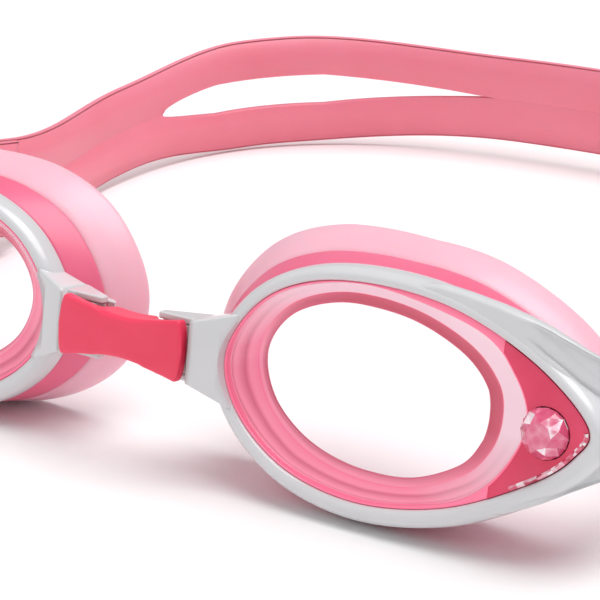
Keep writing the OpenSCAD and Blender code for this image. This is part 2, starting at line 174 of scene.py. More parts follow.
def banded_painted_light(name, nose_stops, temple_reflection_stops):
    """The wall behind the lens. Attribute 'band' runs from the rim in to the window, and
    'side' from the nose and bottom to the temple and top, where the wall is painted paler: a painted
    reflection of the lens bevel."""
    mat, nodes, links = new_material(name)
    shader = nodes["Principled BSDF"]
    band = nodes.new("ShaderNodeAttribute")
    band.attribute_name = "band"
    side = nodes.new("ShaderNodeAttribute")
    side.attribute_name = "side"
    place = nodes.new("ShaderNodeTexCoord")
    waver = nodes.new("ShaderNodeTexNoise")
    waver.inputs["Scale"].default_value = 60
    links.new(place.outputs["Object"], waver.inputs["Vector"])
    centred = nodes.new("ShaderNodeMath")
    centred.operation = "SUBTRACT"
    centred.inputs[1].default_value = 0.5
    links.new(waver.outputs["Fac"], centred.inputs[0])
    shift = nodes.new("ShaderNodeMath")
    shift.operation = "MULTIPLY_ADD"
    shift.inputs[1].default_value = 0.1
    links.new(centred.outputs[0], shift.inputs[0])
    links.new(band.outputs["Fac"], shift.inputs[2])
    ramps = []
    for stops in (nose_stops, temple_reflection_stops):
        ramp = nodes.new("ShaderNodeValToRGB")
        fill_ramp(ramp, stops)
        links.new(shift.outputs[0], ramp.inputs["Fac"])
        ramps.append(ramp)
    mix = nodes.new("ShaderNodeMix")
    mix.data_type = "RGBA"
    # Painted reflection: the paler temple ramp takes over where 'side' is high.
    links.new(side.outputs["Fac"], mix.inputs["Factor"])
    links.new(ramps[0].outputs["Color"], mix.inputs[6])
    links.new(ramps[1].outputs["Color"], mix.inputs[7])
    links.new(mix.outputs[2], shader.inputs["Base Color"])
    # Painted light: the wall glows with its own colour at 0.3, standing in for light that shines
    # through the silicone into its shaded recess.
    links.new(mix.outputs[2], shader.inputs["Emission Color"])
    shader.inputs["Emission Strength"].default_value = 0.3
    shader.inputs["Roughness"].default_value = 0.22
    shader.inputs["Coat Weight"].default_value = 0.4
    return mat


def faceted_painted_glints(name, stops, roughness):
    """Cut crystal: each facet has its own tone, from the 'facet' attribute, painted to stand in for
    the light each facet catches; fine Voronoi cells add painted glints.
    """
    mat, nodes, links = new_material(name)
    shader = nodes["Principled BSDF"]
    facet = nodes.new("ShaderNodeAttribute")
    facet.attribute_name = "facet"
    place = nodes.new("ShaderNodeTexCoord")
    painted_sparkle = nodes.new("ShaderNodeTexVoronoi")
    painted_sparkle.inputs["Scale"].default_value = 900
    links.new(place.outputs["Object"], painted_sparkle.inputs["Vector"])
    blend = nodes.new("ShaderNodeMath")
    blend.operation = "MULTIPLY_ADD"
    blend.inputs[1].default_value = 0.35
    links.new(painted_sparkle.outputs["Distance"], blend.inputs[0])
    links.new(facet.outputs["Fac"], blend.inputs[2])
    ramp = nodes.new("ShaderNodeValToRGB")
    fill_ramp(ramp, stops)
    links.new(blend.outputs[0], ramp.inputs["Fac"])
    links.new(ramp.outputs["Color"], shader.inputs["Base Color"])
    shader.inputs["Roughness"].default_value = roughness
    shader.inputs["Coat Weight"].default_value = 1.0
    shader.inputs["Coat Roughness"].default_value = 0.03
    return mat


def clear_plastic(name):
    """Thin clear lens: see-through, with a gloss that grows towards the edges."""
    mat, nodes, links = new_material(name)
    nodes.remove(nodes["Principled BSDF"])
    out = nodes["Material Output"]
    through = nodes.new("ShaderNodeBsdfTransparent")
    through.inputs["Color"].default_value = (0.985, 0.985, 0.99, 1)
    gloss = nodes.new("ShaderNodeBsdfGlossy")
    gloss.inputs["Roughness"].default_value = 0.04
    facing = nodes.new("ShaderNodeLayerWeight")
    facing.inputs["Blend"].default_value = 0.12
    place = nodes.new("ShaderNodeTexCoord")
    haze = nodes.new("ShaderNodeTexNoise")
    haze.inputs["Scale"].default_value = 220
    links.new(place.outputs["Object"], haze.inputs["Vector"])
    relief = nodes.new("ShaderNodeBump")
    relief.inputs["Strength"].default_value = 0.01
    relief.inputs["Distance"].default_value = 0.0002
    links.new(haze.outputs["Fac"], relief.inputs["Height"])
    links.new(relief.outputs["Normal"], gloss.inputs["Normal"])
    mix = nodes.new("ShaderNodeMixShader")
    share = nodes.new("ShaderNodeMath")
    share.operation = "MULTIPLY"
    share.inputs[1].default_value = 0.4
    links.new(facing.outputs["Fresnel"], share.inputs[0])
    links.new(share.outputs[0], mix.inputs["Fac"])
    links.new(through.outputs[0], mix.inputs[1])
    links.new(gloss.outputs[0], mix.inputs[2])
    links.new(mix.outputs[0], out.inputs["Surface"])
    return mat


WHITE = mottled("pearl_white", tone(212, 212, 215), tone(218, 218, 220), 70, 0.22,
                bump=0.012, Coat_Weight=0.35, Coat_Roughness=0.08)
DEEP_PINK = mottled("deep_pink", tone(238, 106, 140), tone(243, 116, 150), 90, 0.32,
                    Subsurface_Weight=0.15, Subsurface_Scale=0.003)
PALE_PINK = mottled("pale_pink", tone(248, 186, 203), tone(251, 194, 210), 60, 0.3,
                    Subsurface_Weight=0.4, Subsurface_Scale=0.004)
CORAL = mottled("coral", tone(241, 58, 92), tone(247, 70, 103), 120, 0.34,
                bump=0.03, Subsurface_Weight=0.1, Subsurface_Scale=0.002)
STRAP_PINK = mottled("strap_pink", tone(243, 132, 152), tone(247, 142, 162), 40, 0.38,
                     bump=0.03, Subsurface_Weight=0.2, Subsurface_Scale=0.003)
RED_PINK = mottled("red_pink", tone(224, 34, 82), tone(236, 60, 104), 140, 0.25, Coat_Weight=0.25)
STEEL = mottled("steel", (0.5, 0.5, 0.52), (0.66, 0.66, 0.68), 300, 0.28, Metallic=1.0)
# Gem and trim tones: the deep pinks are the crystal's own colour; the spread between facets and the
# near-white top stops are painted highlights and glints.
CRYSTAL = faceted_painted_glints("crystal", [(0.0, tone(186, 46, 92)), (0.3, tone(216, 70, 114)),
                              (0.62, tone(230, 98, 136)), (0.78, tone(240, 140, 168)),
                              (0.9, tone(255, 238, 244))], 0.08)
PAINTED_SPARKLE_TRIM = faceted_painted_glints("painted_sparkle", [(0.0, tone(120, 20, 46)), (0.2, tone(206, 46, 88)),
                              (0.5, tone(232, 92, 128)), (0.75, tone(250, 180, 198)),
                              (1.0, tone(255, 250, 252))], 0.06)
# Stepped bands of the wall behind the lens: the thin pale stripes of the nose ramp are painted
# highlights on the bevels, and the broad pale band of the temple ramp is a painted reflection of the
# lens bevel.
LENS_WALL = banded_painted_light(
    "lens_wall",
    [(0.0, tone(242, 112, 146)), (0.3, tone(244, 118, 150)), (0.34, tone(250, 170, 190)),
     (0.38, tone(204, 92, 118)), (0.43, tone(246, 146, 170)), (0.52, tone(212, 102, 128)),
     (0.57, tone(246, 140, 166)), (0.7, tone(240, 116, 148)), (0.84, tone(246, 146, 170)),
     (1.0, tone(210, 108, 132))],
    [(0.0, tone(242, 116, 148)), (0.12, tone(242, 120, 150)), (0.18, tone(252, 206, 218)),
     (0.24, tone(238, 208, 217)), (0.7, tone(236, 202, 212)), (0.75, tone(250, 180, 196)),
     (0.8, tone(214, 88, 114)), (0.94, tone(188, 64, 88)), (1.0, tone(206, 84, 110))])
CLEAR = clear_plastic("clear_lens")

# ---------------------------------------------------------------- mesh helpers


def link_mesh(name, mesh, material, smooth=True):
    obj = bpy.data.objects.new(name, mesh)
    bpy.context.scene.collection.objects.link(obj)
    materials = material if isinstance(material, (list, tuple)) else [material]
    for m in materials:
        mesh.materials.append(m)
    for polygon in mesh.polygons:
        polygon.use_smooth = smooth
    return obj


def skin(name, grid, material, wrap_rows=True, wrap_columns=True, cap=False, smooth=True):
    """A surface over a grid of points (rows, columns, 3), in metres."""
    rows, columns = grid.shape[:2]
    faces = []
    for j in range(rows if wrap_rows else rows - 1):
        k = (j + 1) % rows
        for i in range(columns if wrap_columns else columns - 1):
            i2 = (i + 1) % columns
            faces.append((j * columns + i, j * columns + i2, k * columns + i2, k * columns + i))
    if cap:
        faces.append(tuple(range(columns - 1, -1, -1)))
        faces.append(tuple((rows - 1) * columns + i for i in range(columns)))
    mesh = bpy.data.meshes.new(name)
    mesh.from_pydata([tuple(p) for p in grid.reshape(-1, 3)], [], faces)
    outward(mesh)
    return link_mesh(name, mesh, material, smooth)


def outward(mesh):
    bm = bmesh.new()
    bm.from_mesh(mesh)
    bmesh.ops.recalc_face_normals(bm, faces=bm.faces)
    bm.to_mesh(mesh)
    bm.free()


def rounded_keys(keys, radius, turns=3, wrap=True):
    """Loops through the key loops, with each corner of the section rounded off.

    Returns the loops and, for each, its position counted in keys.
    """
    keys = [np.asarray(k, float) for k in keys]
    count = len(keys)
    loops = []
    places = []
    for j, key in enumerate(keys):
        if not wrap and j in (0, count - 1):
            loops.append(key)
            places.append(float(j))
            continue
        before = keys[(j - 1) % count] - key
        after = keys[(j + 1) % count] - key
        near = np.minimum(radius / np.maximum(np.linalg.norm(before, axis=-1), 1e-6), 0.45)
        far = np.minimum(radius / np.maximum(np.linalg.norm(after, axis=-1), 1e-6), 0.45)
        start = key + before * near[..., None]
        end = key + after * far[..., None]
        for step in range(turns + 1):
            t = step / turns
            loops.append(start * (1 - t) ** 2 + key * 2 * t * (1 - t) + end * t ** 2)
            places.append(j + (2 * t - 1) * 0.3)
    return np.array(loops), places


def prism(name, outline, axis, low, high, material, side=1, bevel=0.3, segments=3):
    """An outline in front coordinates, pulled along x, y or z, with softened edges."""
    bm = bmesh.new()
    lower = []
    upper = []
    for a, b in outline:
        for level, row in ((low, lower), (high, upper)):
            p = {"x": (level, a, b), "y": (a, level, b), "z": (a, b, level)}[axis]
            row.append(bm.verts.new(to_world(p, side)))
    count = len(outline)
    bm.faces.new(lower)
    bm.faces.new(upper)
    for i in range(count):
        j = (i + 1) % count
        bm.faces.new((lower[i], lower[j], upper[j], upper[i]))
    bmesh.ops.recalc_face_normals(bm, faces=bm.faces)
    mesh = bpy.data.meshes.new(name)
    bm.to_mesh(mesh)
    bm.free()
    obj = link_mesh(name, mesh, material, smooth=False)
    if bevel:
        soften(obj, bevel, segments)
    return obj


def soften(obj, width, segments=3, angle=30):
    bevel = obj.modifiers.new("soft_edges", "BEVEL")
    bevel.width = width * MM
    bevel.segments = segments
    bevel.limit_method = "ANGLE"
    bevel.angle_limit = math.radians(angle)
    bevel.harden_normals = True
    for polygon in obj.data.polygons:
        polygon.use_smooth = True


def cut_away(obj, cutter):
    """Subtracts the cutter and removes it."""
    boolean = obj.modifiers.new("cut", "BOOLEAN")
    boolean.operation = "DIFFERENCE"
    boolean.solver = "EXACT"
    boolean.object = cutter
    graph = bpy.context.evaluated_depsgraph_get()
    mesh = bpy.data.meshes.new_from_object(obj.evaluated_get(graph))
    obj.modifiers.clear()
    old = obj.data
    obj.data = mesh
    bpy.data.meshes.remove(old)
    bpy.data.objects.remove(cutter)


def circle(x, y, r, count=48, start=0, end=360):
    full = end - start == 360
    steps = count if full else count + 1
    angles = [math.radians(start + (end - start) * i / count) for i in range(steps)]
    return [(x + r * math.cos(a), y + r * math.sin(a)) for a in angles]


# ---------------------------------------------------------------- outlines

EYE_X = 17.8
EYE = [(-1.4, 9.5), (1.5, 1.3), (10.5, -5.2), (23, -7.3), (37, -4.6), (49.6, 1.9),
       (55.6, 7), (57, 11.6), (48.5, 18.3), (36, 23.2), (23.5, 24.4), (12, 22.8), (3.5, 18)]
LENS = [(-1.3, 9.5), (1.6, 1.4), (10.5, -5.1), (23, -7.2), (34.6, -5.1), (41.2, -1.9),
        (45.9, 3.6), (48.2, 10.3), (45.6, 16.3), (39.4, 21.4), (23.5, 24.3), (12, 22.7), (3.6, 18)]
WINDOW = [(4.4, 11.2), (6.3, 4.2), (12.5, -1), (21, -3.4), (30, -2.9), (37.8, 0.6),
          (41.5, 4.7), (42.7, 9.2), (41.6, 13.6), (36.6, 17.8), (27.5, 20.9), (17, 21.1), (8.4, 17.6)]
GEM_AT = (EYE_X + 51, 9.4)
GEM_R = 3.6
OUTLINE_STEPS = 20


def smooth_loop(control):
    c = np.array(control, float)
    a, b, d, e = np.roll(c, 1, 0), c, np.roll(c, -1, 0), np.roll(c, -2, 0)
    points = []
    for i in range(len(c)):
        for j in range(OUTLINE_STEPS):
            t = j / OUTLINE_STEPS
            points.append(0.5 * (2 * b[i] + (d[i] - a[i]) * t
                                 + (2 * a[i] - 5 * b[i] + 4 * d[i] - e[i]) * t * t
                                 + (3 * b[i] - a[i] - 3 * d[i] + e[i]) * t ** 3))
    loop = np.array(points)
    loop[:, 0] += EYE_X
    return loop


def normals(loop):
    along = np.roll(loop, -1, 0) - np.roll(loop, 1, 0)
    normal = np.stack([along[:, 1], -along[:, 0]], -1)
    return normal / np.linalg.norm(normal, axis=1)[:, None]


def grown(loop, even, top=0.0, nose=0.0, temple=0.0):
    """The outline moved outwards, more at the top and nose and less at the temple."""
    normal = normals(loop)
    n_x, n_z = normal[:, 0], normal[:, 1]
    reach = even + top * n_z + nose * np.maximum(0, -n_x) - temple * np.maximum(0, n_x) ** 2
    return loop + normal * reach[:, None]


def at_depth(loop, y):
    return np.stack([loop[:, 0], np.full(len(loop), float(y)), loop[:, 1]], -1)


eye = smooth_loop(EYE)
lens = smooth_loop(LENS)
window = smooth_loop(WINDOW)


def rim(d):
    return grown(eye, 0.86 * d, -0.14 * d)


def base_outline(d=0.0):
    return grown(eye, 2.55 + d, 0.28, 3.05, 3.25)


def skirt_outline(d=0.0):
    return grown(eye, 3.53 + d, 1.93, 5.97, 5.53)


def middle_outline(d):
    return (base_outline(d) + skirt_outline(d)) / 2


PART_GAP = 0.08                  # between pieces that are fixed together
RIM_W = 3.0
RIM_CREST_Y = -0.25              # foremost line of the rim
FRAME_DEPTH = 3.7
LENS_DEPTH = 1.9
BASE_DEPTH = 7.7
SKIRT_DEPTH = 13.5
LENS_RIM_Y = 0.35                # front edge of the lens
SEAT_T = 1.6                     # from the lens window back to the seat of lens and plate

# ---------------------------------------------------------------- frame


def frame_ring(name, side):
    keys = [at_depth(rim(0), 0.25), at_depth(rim(0.7), RIM_CREST_Y), at_depth(rim(1.8), -0.1),
            at_depth(rim(RIM_W - 0.3), 0.9), at_depth(rim(RIM_W), 2.2),
            at_depth(rim(RIM_W), FRAME_DEPTH), at_depth(rim(0), FRAME_DEPTH)]
    loops, _ = rounded_keys(keys, 0.45)
    return skin(f"frame_ring_{name}", to_world(loops, side), WHITE)


WING_TURN = 13.0
WING_X = 80.0
WING_T = 2.7
KNUCKLE_R = 2.4
KNUCKLE_H = 3.4                  # of each of the two knuckles on a wing
KNUCKLE_GAP = 3.5                # half height of the room between them
PIN_BORE_R = 1.06
WING_FACE = 0.03
WING_START = 42.0
WING_TOP = [(42, 25.4), (47, 26), (50.7, 26.4), (55, 26), (60, 25.3), (64, 24.5), (67.9, 23.5),
            (71.4, 22.2), (74.5, 20.7), (78, 19.7), (80, 19.4)]
WING_LOW = [(42, -8.6), (51, -7.2), (55, -5.9), (59.3, -4.8), (63.8, -3.4), (69.4, -0.6), (73.1, 1.6),
            (76.2, 3.3), (79, 4.7), (80, 5.2)]
GROOVE_TOP = [(64.5, 21.8), (67, 20.5), (70.2, 18.8), (73.3, 16.5), (76, 14.8), (80, 13.7)]
GROOVE_LOW = [(64, -1.4), (68, 0.3), (71.9, 3), (73.8, 4.9), (76, 7.3), (80, 9.4)]
GROOVE_T = 0.5
GROOVE_HALF_W = 0.38
FLANK_SLOPE = 0.22               # the surface falls away beyond a groove
FLANK_WIDTH = 2.2
WING_ROWS = 120
WING_COLUMNS = 110


def wing_line(s):
    """Point and outward normal, seen from above, at a distance s along the wing."""
    flat = WING_X - WING_TURN - WING_START
    arc = WING_TURN * math.pi / 2
    if s < flat:
        return (WING_START + s, WING_FACE), (0, -1)
    if s < flat + arc:
        a = (s - flat) / WING_TURN
        middle = (WING_X - WING_TURN, WING_FACE + WING_TURN)
        return ((middle[0] + WING_TURN * math.sin(a), middle[1] - WING_TURN * math.cos(a)),
                (math.sin(a), -math.cos(a)))
    return (WING_X, WING_FACE + WING_TURN + s - flat - arc), (1, 0)


def wing_length():
    return (WING_X - WING_TURN - WING_START) + WING_TURN * math.pi / 2 + (PIN_Y - 1.2 - WING_TURN)


def wing_relief(x, z):
    """Depth of the two long grooves, and of the flanks that fall away beyond them."""
    depth = 0.0
    for line, outward_sign in ((GROOVE_TOP, 1), (GROOVE_LOW, -1)):
        centre = np.interp(x, *zip(*line))
        fade = smooth((x - line[0][0] + 1.5) / 4)
        beyond = (z - centre) * outward_sign
        depth += fade * GROOVE_T * math.exp(-(beyond / GROOVE_HALF_W) ** 2)
        depth += fade * FLANK_SLOPE * min(max(beyond, 0), FLANK_WIDTH)
    return depth


def wing(name, side):
    grid = []
    half = WING_T / 2
    for row in range(WING_ROWS + 1):
        s = wing_length() * row / WING_ROWS
        (x, y), (nx, ny) = wing_line(s)
        top = np.interp(x, *zip(*WING_TOP))
        low = np.interp(x, *zip(*WING_LOW))
        ring = []
        soft = 0.6
        for i in range(WING_COLUMNS + 1):
            h = i / WING_COLUMNS
            z = low + soft + (top - low - 2 * soft) * h
            d = -wing_relief(x, z)
            ring.append((x + nx * d, y + ny * d, z))
        for a in (30, 60, 90, 120, 150):
            c, q = math.cos(math.radians(a)), math.sin(math.radians(a))
            ring.append((x - nx * half * (1 - c), y - ny * half * (1 - c), top - soft + soft * q))
        for i in range(13):
            z = top - soft - (top - low - 2 * soft) * i / 12
            ring.append((x - nx * WING_T, y - ny * WING_T, z))
        for a in (150, 120, 90, 60, 30):
            c, q = math.cos(math.radians(a)), math.sin(math.radians(a))
            ring.append((x - nx * half * (1 - c), y - ny * half * (1 - c), low + soft - soft * q))
        grid.append(ring)
    obj = skin(f"frame_wing_{name}", to_world(np.array(grid), side), WHITE,
               wrap_rows=False, cap=True)
    hole = prism("cutter", [tuple(p) for p in grown(eye, 1.2)[::2]], "y", -3, FRAME_DEPTH + 0.05,
                 WHITE, side, bevel=0)
    cut_away(obj, hole)
    cut_away(obj, prism("cutter", circle(PIN_X, PIN_Y, KNUCKLE_R + 0.3, 40), "z",
                        MID_Z - KNUCKLE_GAP, MID_Z + KNUCKLE_GAP, WHITE, side, bevel=0))
    return obj


def wing_knuckle(name, side, z, index):
    return prism(f"frame_knuckle_{index}_{name}", circle(PIN_X, PIN_Y, KNUCKLE_R, 40), "z",
                 z, z + KNUCKLE_H, WHITE, side, 0.35)


HINGE_X = 7.6
HINGE_Y = 1.0
BEAD_R = 1.5
HOOK_R = 2.6
BRIDGE_LOW = 4.4
BRIDGE_H = 9.4
BRIDGE_HIGH = BRIDGE_LOW + BRIDGE_H
BRIDGE_FRONT = -3.7
PLATE_T = 2.0
ARM_FRONT = BRIDGE_FRONT + PLATE_T + 0.55
SHOULDER_X = 11.8
ARM_ROOT = 18.5
CAP_T = 1.1


def hook(name, side):
    """The open hook that holds the bead of the bridge, between two closing caps."""
    bore = BEAD_R + 0.06
    mouth = math.degrees(math.asin(0.95 / bore))
    hook_y = HINGE_Y + 0.25
    front = math.degrees(math.asin((hook_y - ARM_FRONT) / HOOK_R))
    lip = math.degrees(math.asin((0.95 - 0.25) / HOOK_R))
    plan = [(SHOULDER_X + 1, ARM_FRONT), (SHOULDER_X + 1, 3.2)]
    plan += circle(HINGE_X, hook_y, HOOK_R, 18, 60, 180 - lip)
    plan += circle(HINGE_X, HINGE_Y, bore, 30, 180 - mouth, -180 + mouth)
    plan += circle(HINGE_X, hook_y, HOOK_R, 6, 180 + lip + 11, 360 - 180 + front)
    return prism(f"frame_hook_{name}", plan, "z", BRIDGE_LOW + CAP_T,
                 BRIDGE_HIGH - CAP_T, WHITE, side, 0.15)


def hook_cap(name, side, z, label):
    """Closes one end of the hook, flush with the end face of the arm."""
    plan = [(5.2, ARM_FRONT), (SHOULDER_X + 1, ARM_FRONT), (SHOULDER_X + 1, 4.4),
            (11.5, 4.1), (5.2, 0.4)]
    return prism(f"frame_cap_{label}_{name}", plan, "z", z, z + CAP_T, WHITE, side, 0.3)


def arm(name, side):
    """Flaring block that carries the hook forwards from the rim."""
    # x, front, back, low and high at the shoulder and at the root
    shape = [(SHOULDER_X, BRIDGE_FRONT + 1.15, 4.0, BRIDGE_LOW - 0.1, BRIDGE_HIGH + 0.1),
             (ARM_ROOT, -0.3, 3.6, 1.5, 15.9)]
    grid = []
    for row in range(9):
        t = row / 8
        x, front, back, low, high = [a + (b - a) * t for a, b in zip(*shape)]
        ring = []
        for cy, cz, start in ((1, 1, 0), (-1, 1, 90), (-1, -1, 180), (1, -1, 270)):
            r = 0.45
            for i in range(5):
                a = math.radians(start + 22.5 * i)
                y = (back - r if cy > 0 else front + r) + r * math.cos(a)
                z = (high - r if cz > 0 else low + r) + r * math.sin(a)
                ring.append((x, y, z))
        grid.append(ring)
    obj = skin(f"frame_arm_{name}", to_world(np.array(grid), side), WHITE,
               wrap_rows=False, cap=True)
    cut_away(obj, prism("cutter", [tuple(p) for p in grown(eye, 0.1)[::2]], "y", -6,
                        8, WHITE, side, bevel=0))
    return obj


# ---------------------------------------------------------------- lens, plate and gem


def lens_piece(name, side):
    """Thin clear tray; a narrow gasket of the seal runs round its edge."""
    edge = grown(lens, -0.3)
    rim_t = 0.8
    keys = [at_depth(window, LENS_DEPTH), at_depth(edge, LENS_RIM_Y),
            at_depth(edge, LENS_RIM_Y + rim_t),
            at_depth(grown(window, 0.2), LENS_DEPTH + rim_t)]
    loops, _ = rounded_keys(keys, 0.5, wrap=False)
    return skin(f"lens_{name}", to_world(loops, side), CLEAR, wrap_rows=False, cap=True)


PLATE_FROM = EYE_X + 43.5
PLATE_FRONT = 0.2


def plate_piece(name, side):
    """Glossy red corner plate with a round seat for the gem."""
    plate = prism(f"corner_plate_{name}", [tuple(p) for p in grown(eye, -PART_GAP)], "y",
                  PLATE_FRONT, LENS_DEPTH + SEAT_T, RED_PINK, side, bevel=0)
    cut_away(plate, prism("cutter", [tuple(p) for p in grown(lens, PART_GAP)], "y", -2, 8,
                          WHITE, side, bevel=0))
    cut_away(plate, prism("cutter", circle(*GEM_AT, GEM_R + 0.1, 64), "y", -2, 2.4,
                          WHITE, side, bevel=0))
    cut_away(plate, prism("cutter", [(0, -20), (PLATE_FROM, -20), (PLATE_FROM, 40), (0, 40)],
                          "y", -2, 8, WHITE, side, bevel=0))
    return plate


def plate_trim(name, side):
    """Cut edge along the lower side of the corner plate; its sparkle is painted glints on the facets.
    """
    random = np.random.default_rng(5)
    along = [i for i in range(len(eye))
             if eye[i][0] > PLATE_FROM + 3 and normals(eye)[i][1] < 0.35]
    outer = grown(eye, -0.1)[along]
    inner = grown(eye, -0.75)[along]
    outer, inner = outer[::2], inner[::2]
    count = len(outer)
    level = PLATE_FRONT - 0.15 * random.random((3, count))
    share = 0.35 + 0.3 * random.random(count)
    middle = outer * (1 - share[:, None]) + inner * share[:, None]
    rows = []
    for line, depth in ((outer, np.full(count, 1.0)), (outer, level[0]),
                        (middle, level[1] - 0.25), (inner, level[2]),
                        (inner, np.full(count, 1.0))):
        rows.append(np.stack([line[:, 0], depth, line[:, 1]], -1))
    trim = skin(f"plate_trim_{name}", to_world(np.array(rows), side), PAINTED_SPARKLE_TRIM,
                wrap_columns=False, smooth=False)
    paint_facet_glints(trim, 1.0)
    return trim


def paint_facet_glints(obj, strength):
    """Gives every face its own tone, drawn at random, as painted light: the tones stand in for the
    light and glints each facet catches.
    """
    tones = np.random.default_rng(7).random(len(obj.data.polygons))
    facet = obj.data.attributes.new("facet", "FLOAT", "FACE")
    for i, shade in enumerate(tones):
        facet.data[i].value = strength * shade


def gem_piece(name, side):
    """Round brilliant: table, star, kite and girdle facets over a blunt pavilion."""
    bm = bmesh.new()

    def ring(count, r, y, turn):
        made = []
        for i in range(count):
            a = math.tau * (i + turn) / count
            p = (GEM_AT[0] + r * math.cos(a), y, GEM_AT[1] + r * math.sin(a))
            made.append(bm.verts.new(to_world(p, side)))
        return made

    table = ring(8, GEM_R * 0.53, -1.95, 0)
    star = ring(8, GEM_R * 0.8, -1.3, 0.5)
    girdle = ring(16, GEM_R, -0.1, 0)
    lower = ring(16, GEM_R, 0.15, 0)
    culet = ring(8, GEM_R * 0.45, 1.85, 0)
    bm.faces.new(table)
    for i in range(8):
        j = (i + 1) % 8
        bm.faces.new((table[i], table[j], star[i]))
        bm.faces.new((table[j], star[i], girdle[(2 * i + 2) % 16], star[j]))
        bm.faces.new((star[i], girdle[2 * i], girdle[2 * i + 1]))
        bm.faces.new((star[i], girdle[2 * i + 1], girdle[(2 * i + 2) % 16]))
        bm.faces.new((culet[i], lower[2 * i], lower[2 * i + 1]))
        bm.faces.new((culet[i], lower[2 * i + 1], culet[j]))
        bm.faces.new((culet[j], lower[2 * i + 1], lower[(2 * i + 2) % 16]))
    for i in range(16):
        j = (i + 1) % 16
        bm.faces.new((girdle[i], girdle[j], lower[j], lower[i]))
    bm.faces.new(culet)
    bmesh.ops.recalc_face_normals(bm, faces=bm.faces)
    mesh = bpy.data.meshes.new(f"gem_{name}")
    bm.to_mesh(mesh)
    bm.free()
    gem = link_mesh(f"gem_{name}", mesh, CRYSTAL, smooth=False)
    paint_facet_glints(gem, 0.75)
    return gem


# ---------------------------------------------------------------- seals


def seal_base_piece(name, side):
    """Deep pink ring; its front wall backs the sloping edge of the clear lens."""
    behind = 0.95                # room for the lens in front of the wall
    lip = grown(window, -0.7, -0.3, 1.05, 1.1)
    keys = [at_depth(lip, LENS_DEPTH + behind + 0.25),
            at_depth(grown(window, 0.8, 0, 0.4, 0.3), LENS_DEPTH + behind),
            at_depth(grown(lens, -0.35), LENS_RIM_Y + behind),
            at_depth(grown(lens, -0.27), 0.3),
            at_depth(grown(eye, -0.06), 0.4),
            at_depth(grown(eye, -0.06), LENS_DEPTH + 1.7),
            at_depth(grown(eye, -0.2), FRAME_DEPTH + PART_GAP),
            at_depth(rim(RIM_W - 0.3), FRAME_DEPTH + PART_GAP),
            at_depth(base_outline(), BASE_DEPTH),
            at_depth(base_outline(-2), BASE_DEPTH),
            at_depth(grown(window, 1.6), LENS_DEPTH + 3),
            at_depth(lip, LENS_DEPTH + behind + 1.0)]
    loops, places = rounded_keys(keys, 0.35)
    obj = skin(f"seal_base_{name}", to_world(loops, side), [DEEP_PINK, LENS_WALL])
    mesh = obj.data
    columns = loops.shape[1]
    # Painted reflection: 'side' grows where the wall faces the temple and top, and there the material
    # paints the wall paler.
    towards = normals(window) @ np.array([0.72, 0.69])
    band = mesh.attributes.new("band", "FLOAT", "POINT")
    painted_reflection_side = mesh.attributes.new("side", "FLOAT", "POINT")
    for v in range(len(mesh.vertices)):
        place = places[v // columns]
        band.data[v].value = np.interp(place, [0, 1, 2, 3, 4], [1, 0.82, 0.22, 0.07, 0])
        painted_reflection_side.data[v].value = np.clip(0.5 + 0.9 * towards[v % columns], 0, 1)
    for polygon in mesh.polygons:
        middle = sum(places[v // columns] for v in polygon.vertices) / len(polygon.vertices)
        if -0.35 <= middle <= 4.4:
            polygon.material_index = 1
    turn_x = WING_X - WING_TURN
    plan = [(turn_x, -1), (turn_x + 20, -1), (turn_x + 20, WING_FACE + WING_TURN)]
    plan += circle(turn_x, WING_FACE + WING_TURN, WING_TURN - WING_T - 0.06, 48, 0, -90)
    cut_away(obj, prism("cutter", plan, "z", -10, 40, WHITE, side, bevel=0))
    return obj


def seal_skirt_piece(name, side):
    halfway = (BASE_DEPTH + SKIRT_DEPTH) / 2
    keys = [at_depth(base_outline(-1.9), BASE_DEPTH + PART_GAP),
            at_depth(base_outline(-0.1), BASE_DEPTH + PART_GAP),
            at_depth(middle_outline(0.3), halfway),
            at_depth(skirt_outline(), SKIRT_DEPTH),
            at_depth(skirt_outline(-0.9), SKIRT_DEPTH + 0.8),
            at_depth(skirt_outline(-2.4), SKIRT_DEPTH + 0.4),
            at_depth(middle_outline(-1.3), halfway + 0.5)]
    loops, _ = rounded_keys(keys, 1.2, turns=5)
    return skin(f"seal_skirt_{name}", to_world(loops, side), PALE_PINK)


# ---------------------------------------------------------------- bridge

BRIDGE_HALF_W = 11.35
WAIST = 1.5                      # how much lower the middle is than the ends, on each edge
BLOCK_HALF_W = 4.4               # half width of the thick middle behind the pad
END_ROUND = 0.045                # share of the half width that rounds off an end
BRIDGE_ROWS = 90
BRIDGE_COLUMNS = 96


